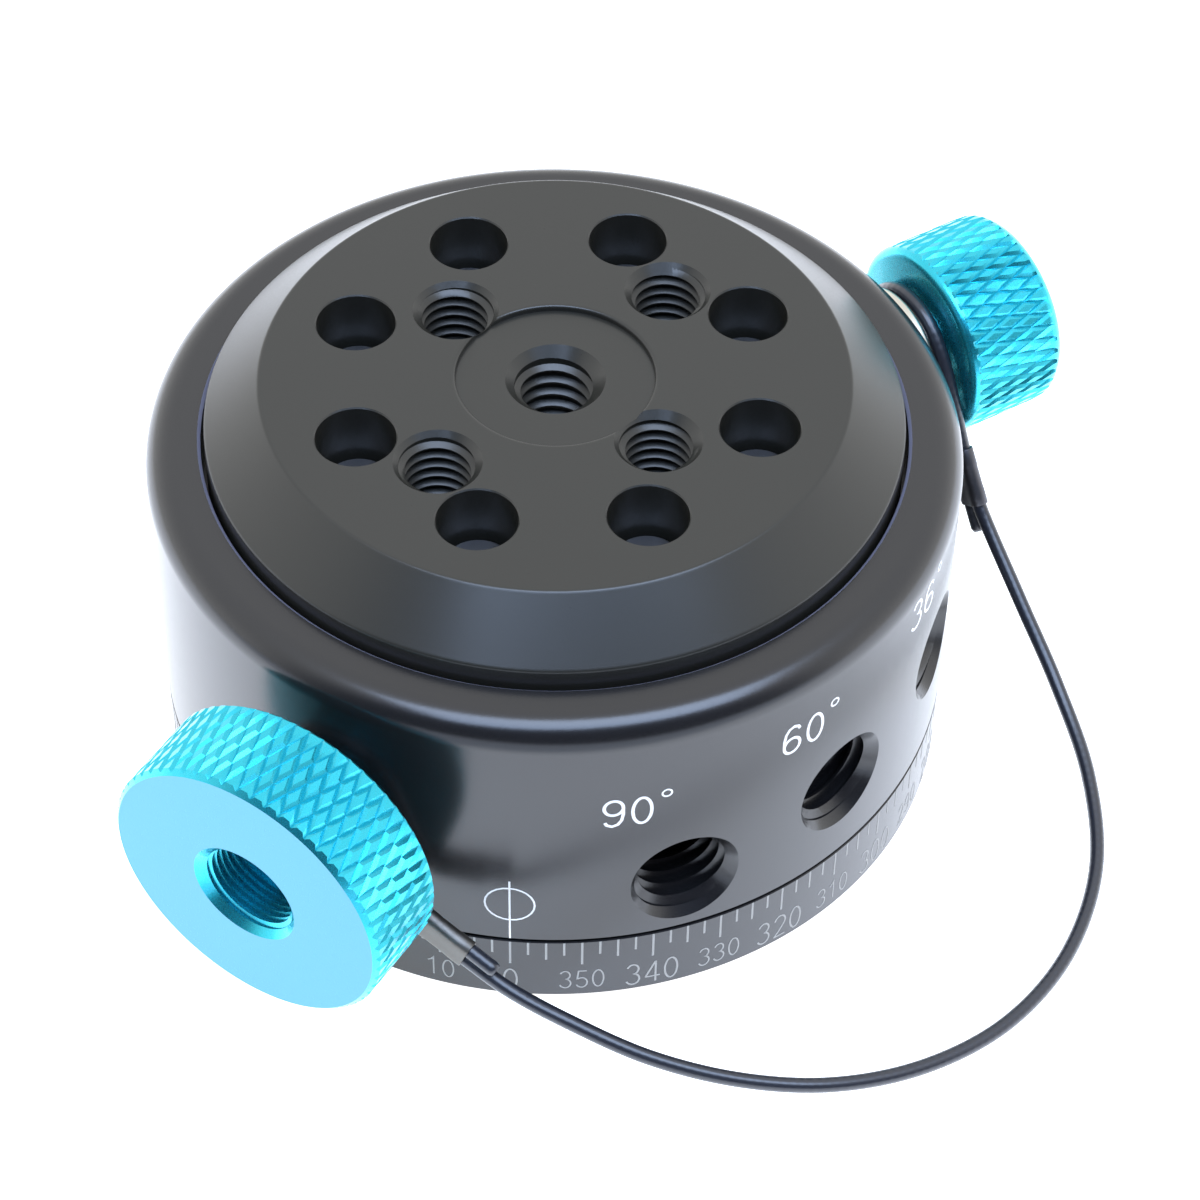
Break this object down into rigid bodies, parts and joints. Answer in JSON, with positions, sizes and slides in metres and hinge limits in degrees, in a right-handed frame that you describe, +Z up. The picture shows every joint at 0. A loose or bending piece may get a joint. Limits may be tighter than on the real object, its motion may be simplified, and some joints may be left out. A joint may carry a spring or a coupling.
{
  "type": "panoramic tripod head",
  "caption": "Indexing panoramic tripod head: a scale base, a turning housing with stop holes and top plate, a knurled lock knob and a tethered spring plunger.",
  "frame": {"origin": "centre of the base's underside, where the head stands on a tripod plate", "axes": "+Z up along the panning axis, through the camera thread; the plunger points to +X, a little towards -Y, and the lock knob to -X; the open stop holes are on the -Y side"},
  "size_m": [0.0895, 0.0822, 0.0371],
  "materials": {
    "black_anodised": "satin black anodised, fine turned and bead-blasted faces",
    "blue_anodised": "bright blue anodised, diamond knurl on the rim",
    "screw_steel": "plain machined steel",
    "bearing_steel": "ground steel",
    "black_steel": "blackened steel",
    "pale_steel": "bright turned steel",
    "cage_brass": "plain brass",
    "seal_rubber": "matt black rubber",
    "cable_coat": "glossy clear coat over black steel cable",
    "ferrule_metal": "pressed grey metal"
  },
  "bodies": {
    "base": {"scale_base": "black_anodised", "tripod_bush": "screw_steel", "base_screw_1": "black_steel", "base_screw_2": "black_steel", "base_screw_3": "black_steel", "base_screw_4": "black_steel", "base_screw_5": "black_steel", "base_screw_6": "black_steel", "dust_seal": "seal_rubber", "detent_drum": "bearing_steel", "lower_outer_ring": "bearing_steel", "upper_outer_ring": "bearing_steel", "bearing_spacer": "bearing_steel", "preload_washer": "screw_steel", "drum_clip": "black_steel"},
    "housing": {"housing": "black_anodised", "top_plate": "black_anodised", "plate_screw_1": "screw_steel", "plate_screw_2": "screw_steel", "plate_screw_3": "screw_steel", "plate_screw_4": "screw_steel", "plate_screw_5": "screw_steel", "plate_screw_6": "screw_steel", "plate_screw_7": "screw_steel", "plate_screw_8": "screw_steel", "bearing_hub": "bearing_steel", "lower_inner_ring": "bearing_steel", "upper_inner_ring": "bearing_steel", "lower_ball_cage": "cage_brass", "upper_ball_cage": "cage_brass", "hub_clip": "black_steel", "plunger_sleeve": "pale_steel", "plunger_spring": "screw_steel", "tether_cable": "cable_coat", "front_ferrule": "ferrule_metal", "rear_ferrule": "ferrule_metal"},
    "lock_shoe": {"brake_shoe": "cage_brass"},
    "lock_knob": {"lock_knob": "blue_anodised", "lock_stud": "screw_steel"},
    "index_pin": {"plunger_pin": "screw_steel", "plunger_knob": "blue_anodised", "knob_grub_screw": "black_steel"}
  },
  "joints": [
    {"name": "pan_turn", "type": "hinge", "parent": "base", "child": "housing", "pos_m": [0, 0, 0.018], "axis": [0, 0, 1], "continuous": true},
    {"name": "lock_travel", "type": "slide", "parent": "housing", "child": "lock_shoe", "axis": [-0.972, -0.2351, 0], "range_m": [0, 0.001]},
    {"name": "lock_turn", "type": "hinge", "parent": "lock_shoe", "child": "lock_knob", "pos_m": [-0.03499, -0.00847, 0.019], "axis": [-0.972, -0.2351, 0], "range_deg": [0, 360]},
    {"name": "index_pull", "type": "slide", "parent": "housing", "child": "index_pin", "axis": [0.9736, -0.2281, 0], "range_m": [0, 0.0045], "stiffness_N_per_m": 2000, "springref_m": -0.004, "deforming": ["plunger_spring"]}
  ],
  "couplings": [
    {"joint": "lock_turn", "follows": "lock_travel", "rad_per_m": 6283.2}
  ]
}
